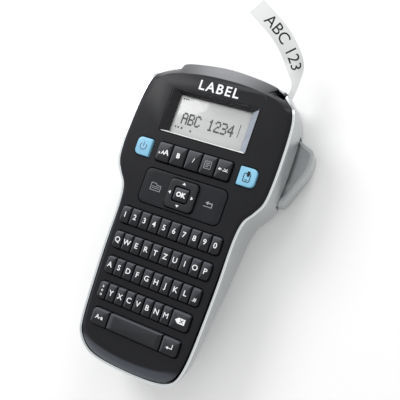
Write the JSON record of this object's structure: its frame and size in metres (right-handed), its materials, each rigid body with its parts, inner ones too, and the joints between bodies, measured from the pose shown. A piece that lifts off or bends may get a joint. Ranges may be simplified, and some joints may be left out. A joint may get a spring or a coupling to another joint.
{
  "type": "handheld label maker",
  "caption": "Handheld label printer with a wide head, slim keyboard handle, display, side cutter lever and a printed label curling out of its top.",
  "frame": {"origin": "middle of the flat back face that the label maker rests on", "axes": "+Y towards the head and display end, +X towards the cutter lever, +Z out of the keyboard face"},
  "size_m": [0.1213, 0.2489, 0.0476],
  "materials": {
    "charcoal_plastic": "satin black",
    "silver_plastic": "satin silver paint",
    "bezel": "glossy",
    "clear_window": "clear",
    "lcd": "matte grey",
    "dark_key": "satin",
    "blue_key": "satin",
    "grey_plastic": "matte",
    "circuit_board": "solder mask",
    "keypad_rubber": "matte",
    "roller_rubber": "matte",
    "gear_plastic": "natural",
    "brass": "machined",
    "steel": "plated",
    "battery_jacket": "printed jacket",
    "cassette_plastic": "matte",
    "label_tape": "satin film"
  },
  "bodies": {
    "casing": {"front_shell": "charcoal_plastic", "rear_shell": "silver_plastic", "display_bezel": "bezel", "display_window": "clear_window", "lcd_module": "lcd", "main_board": "circuit_board", "keypad_mat": "keypad_rubber", "mechanism_plate": "grey_plastic", "drive_motor": "steel", "print_head": "steel", "tape_cassette": "cassette_plastic", "label_strip": "label_tape", "lever_pin": "steel", "lever_spring": "steel", "battery_1": "battery_jacket", "battery_2": "battery_jacket", "battery_3": "battery_jacket", "battery_4": "battery_jacket", "battery_5": "battery_jacket", "battery_6": "battery_jacket", "battery_contacts_lower": "steel", "battery_contacts_upper": "steel", "case_screw_1": "steel", "case_screw_2": "steel", "case_screw_3": "steel", "case_screw_4": "steel", "case_screw_5": "steel", "case_screw_6": "steel"},
    "number_row_strip": {"number_row_keys": "dark_key"},
    "letter_row_1_strip": {"letter_row_1_keys": "dark_key"},
    "letter_row_2_strip": {"letter_row_2_keys": "dark_key"},
    "letter_row_3_strip": {"letter_row_3_keys": "dark_key"},
    "backspace_key_cap": {"backspace_key": "dark_key"},
    "caps_key_cap": {"caps_key": "dark_key"},
    "space_key_cap": {"space_key": "dark_key"},
    "enter_key_cap": {"enter_key": "dark_key"},
    "text_size_key_cap": {"text_size_key": "dark_key"},
    "bold_key_cap": {"bold_key": "dark_key"},
    "italic_key_cap": {"italic_key": "dark_key"},
    "box_key_cap": {"box_key": "dark_key"},
    "underline_key_cap": {"underline_key": "dark_key"},
    "power_key_cap": {"power_key": "blue_key"},
    "print_key_cap": {"print_key": "blue_key"},
    "ok_key_cap": {"ok_key": "dark_key"},
    "nav_rocker_plate": {"nav_rocker": "grey_plastic"},
    "nav_ring_pad": {"nav_ring": "dark_key"},
    "side_panel": {"side_key_panel": "dark_key"},
    "lever": {"cutter_lever": "silver_plastic"},
    "blade": {"cutter_blade": "steel"},
    "idler": {"idler_gear": "gear_plastic"},
    "pinion": {"motor_pinion": "brass"},
    "platen": {"platen_roller": "roller_rubber", "platen_gear": "gear_plastic"},
    "take_up": {"take_up_spindle": "gear_plastic", "ribbon_spool": "roller_rubber"},
    "supply_roll": {"tape_roll": "label_tape"},
    "battery_cover": {"battery_door": "silver_plastic"},
    "cassette_cover": {"cassette_door": "silver_plastic"}
  },
  "joints": [
    {"name": "number_row_keys_press", "type": "slide", "parent": "casing", "child": "number_row_strip", "axis": [0, 0, -1], "range_m": [0, 0.001], "stiffness_N_per_m": 900},
    {"name": "letter_row_1_keys_press", "type": "slide", "parent": "casing", "child": "letter_row_1_strip", "axis": [0, 0, -1], "range_m": [0, 0.001], "stiffness_N_per_m": 900},
    {"name": "letter_row_2_keys_press", "type": "slide", "parent": "casing", "child": "letter_row_2_strip", "axis": [0, 0, -1], "range_m": [0, 0.001], "stiffness_N_per_m": 900},
    {"name": "letter_row_3_keys_press", "type": "slide", "parent": "casing", "child": "letter_row_3_strip", "axis": [0, 0, -1], "range_m": [0, 0.001], "stiffness_N_per_m": 900},
    {"name": "backspace_key_press", "type": "slide", "parent": "casing", "child": "backspace_key_cap", "axis": [0, 0, -1], "range_m": [0, 0.001], "stiffness_N_per_m": 300},
    {"name": "caps_key_press", "type": "slide", "parent": "casing", "child": "caps_key_cap", "axis": [0, 0, -1], "range_m": [0, 0.001], "stiffness_N_per_m": 300},
    {"name": "space_key_press", "type": "slide", "parent": "casing", "child": "space_key_cap", "axis": [0, 0, -1], "range_m": [0, 0.001], "stiffness_N_per_m": 300},
    {"name": "enter_key_press", "type": "slide", "parent": "casing", "child": "enter_key_cap", "axis": [0, 0, -1], "range_m": [0, 0.001], "stiffness_N_per_m": 300},
    {"name": "text_size_key_press", "type": "slide", "parent": "casing", "child": "text_size_key_cap", "axis": [0, 0, -1], "range_m": [0, 0.001], "stiffness_N_per_m": 300},
    {"name": "bold_key_press", "type": "slide", "parent": "casing", "child": "bold_key_cap", "axis": [0, 0, -1], "range_m": [0, 0.001], "stiffness_N_per_m": 300},
    {"name": "italic_key_press", "type": "slide", "parent": "casing", "child": "italic_key_cap", "axis": [0, 0, -1], "range_m": [0, 0.001], "stiffness_N_per_m": 300},
    {"name": "box_key_press", "type": "slide", "parent": "casing", "child": "box_key_cap", "axis": [0, 0, -1], "range_m": [0, 0.001], "stiffness_N_per_m": 300},
    {"name": "underline_key_press", "type": "slide", "parent": "casing", "child": "underline_key_cap", "axis": [0, 0, -1], "range_m": [0, 0.001], "stiffness_N_per_m": 300},
    {"name": "power_key_press", "type": "slide", "parent": "casing", "child": "power_key_cap", "axis": [0, 0, -1], "range_m": [0, 0.001], "stiffness_N_per_m": 300},
    {"name": "print_key_press", "type": "slide", "parent": "casing", "child": "print_key_cap", "axis": [0, 0, -1], "range_m": [0, 0.001], "stiffness_N_per_m": 300},
    {"name": "ok_key_press", "type": "slide", "parent": "casing", "child": "ok_key_cap", "axis": [0, 0, -1], "range_m": [0, 0.001], "stiffness_N_per_m": 300},
    {"name": "nav_rock_up_down", "type": "hinge", "parent": "casing", "child": "nav_rocker_plate", "pos_m": [0, 0.0143, 0.0372], "axis": [1, 0, 0], "range_deg": [-2, 2], "stiffness_Nm_per_rad": 0.08},
    {"name": "nav_rock_left_right", "type": "hinge", "parent": "nav_rocker_plate", "child": "nav_ring_pad", "pos_m": [0, 0.0143, 0.0372], "axis": [0, 1, 0], "range_deg": [-2, 2], "stiffness_Nm_per_rad": 0.08},
    {"name": "side_panel_rock", "type": "hinge", "parent": "casing", "child": "side_panel", "pos_m": [0, 0.0143, 0.0387], "axis": [0, 1, 0], "range_deg": [-1.8, 1.8], "stiffness_Nm_per_rad": 0.3},
    {"name": "cutter_lever_press", "type": "hinge", "parent": "casing", "child": "lever", "pos_m": [0.0465, 0.031, 0.0135], "axis": [0, 0, 1], "range_deg": [0, 8], "stiffness_Nm_per_rad": 0.2},
    {"name": "cutter_blade_slide", "type": "slide", "parent": "casing", "child": "blade", "axis": [-0.891, 0.4539, 0], "range_m": [0, 0.0021]},
    {"name": "idler_spin", "type": "hinge", "parent": "casing", "child": "idler", "pos_m": [0.02822, 0.06041, 0.0287], "axis": [0, 0, 1], "continuous": true},
    {"name": "motor_pinion_spin", "type": "hinge", "parent": "casing", "child": "pinion", "pos_m": [0.0265, 0.0445, 0.0287], "axis": [0, 0, 1], "continuous": true},
    {"name": "platen_spin", "type": "hinge", "parent": "casing", "child": "platen", "pos_m": [0.0352, 0.077, 0.0287], "axis": [0, 0, 1], "continuous": true},
    {"name": "take_up_spin", "type": "hinge", "parent": "casing", "child": "take_up", "pos_m": [0.00822, 0.06041, 0.0287], "axis": [0, 0, 1], "continuous": true},
    {"name": "tape_roll_spin", "type": "hinge", "parent": "casing", "child": "supply_roll", "pos_m": [-0.022, 0.0555, 0.0287], "axis": [0, 0, 1], "continuous": true},
    {"name": "battery_door_hinge", "type": "hinge", "parent": "casing", "child": "battery_cover", "pos_m": [0, -0.0757, 0.01015], "axis": [-1, 0, 0], "range_deg": [0, 75]},
    {"name": "cassette_door_hinge", "type": "hinge", "parent": "casing", "child": "cassette_cover", "pos_m": [-0.0427, 0.06, 0], "axis": [0, 1, 0], "range_deg": [0, 100]}
  ],
  "couplings": [
    {"joint": "motor_pinion_spin", "follows": "idler_spin", "ratio": -3},
    {"joint": "platen_spin", "follows": "idler_spin", "ratio": -2},
    {"joint": "take_up_spin", "follows": "idler_spin", "ratio": -1.5},
    {"joint": "tape_roll_spin", "follows": "idler_spin", "ratio": 0.58},
    {"joint": "cutter_blade_slide", "follows": "cutter_lever_press", "m_per_rad": 0.015}
  ]
}
